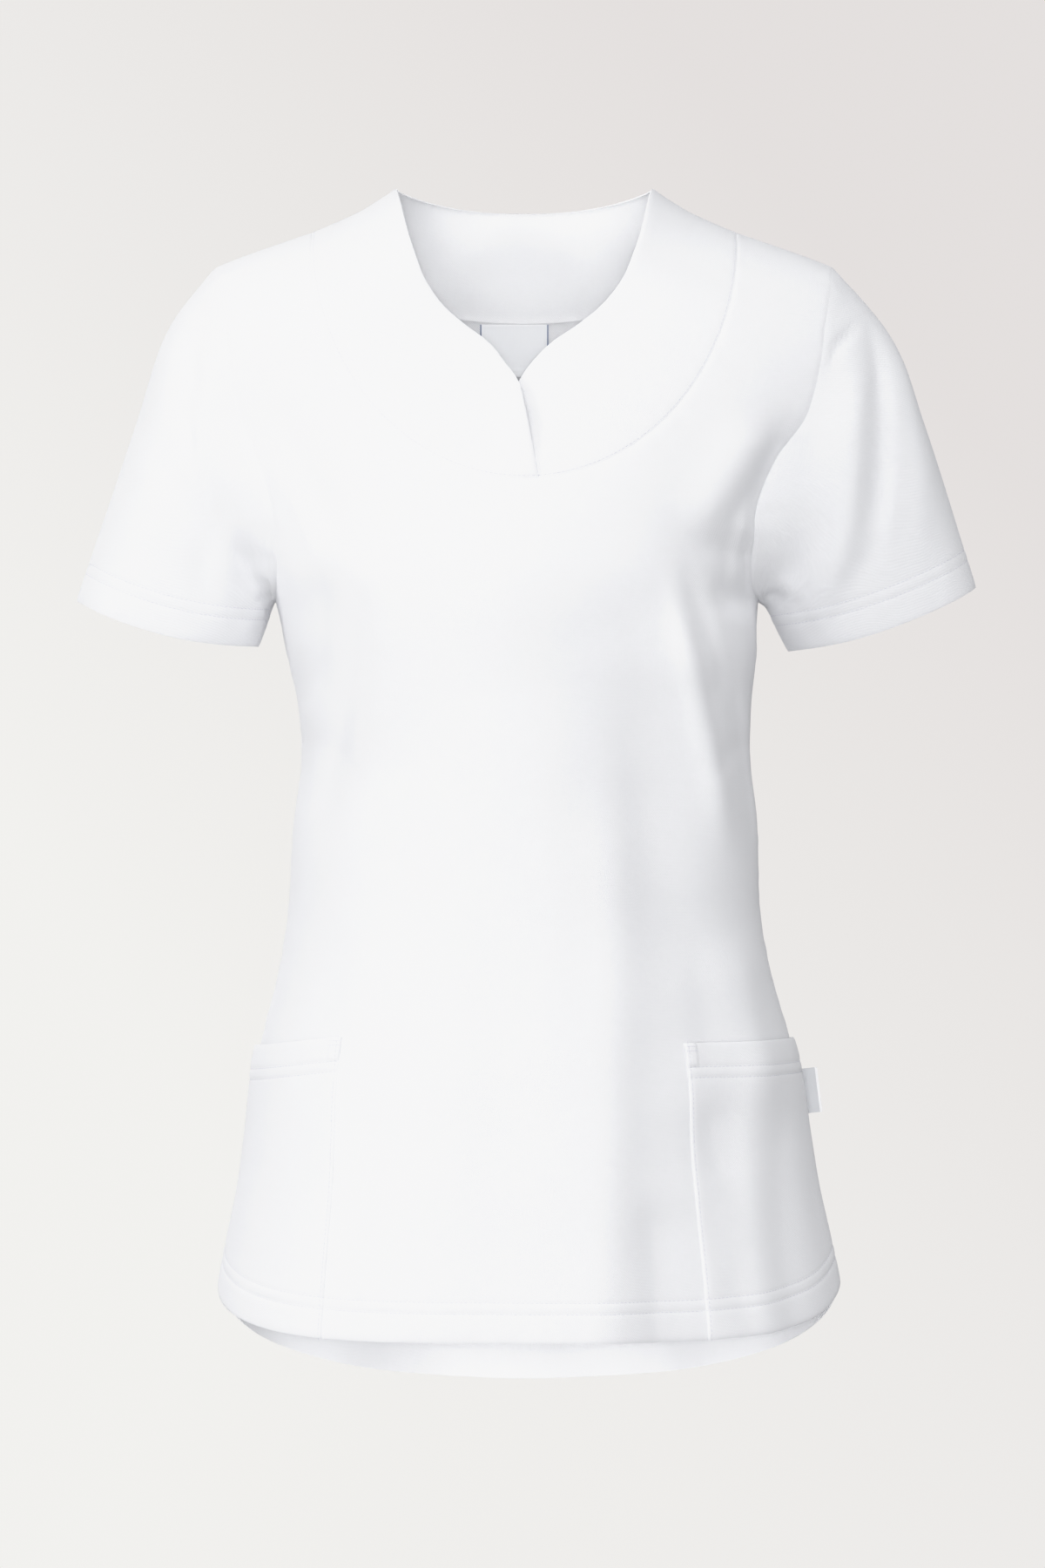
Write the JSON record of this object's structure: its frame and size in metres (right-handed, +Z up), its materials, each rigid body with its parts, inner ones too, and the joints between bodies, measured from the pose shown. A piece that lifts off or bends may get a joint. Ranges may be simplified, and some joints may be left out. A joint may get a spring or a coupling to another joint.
{
  "type": "tunic",
  "caption": "White short-sleeved pull-on work tunic in pique knit, with a wide lapped yoke, a curved dipped hem and hip pockets, filled out with no wearer.",
  "frame": {"origin": "on the centre line, at the middle height of the shoulder seams, where a wearer's shoulders carry it", "axes": "+Z up, -Y is the front, +X is the wearer's left"},
  "size_m": [0.5678, 0.2642, 0.7612],
  "materials": {
    "pique": "matt white pique knit",
    "label": "blank white woven ribbon with a soft sheen"
  },
  "bodies": {
    "root": {"front": "pique", "back": "pique", "sleeve_left": "pique", "sleeve_right": "pique", "yoke_front_right": "pique", "yoke_front_left": "pique", "yoke_back": "pique", "pocket_left": "pique", "pocket_right": "pique", "label_neck": "label", "label_side": "label"}
  },
  "joints": []
}
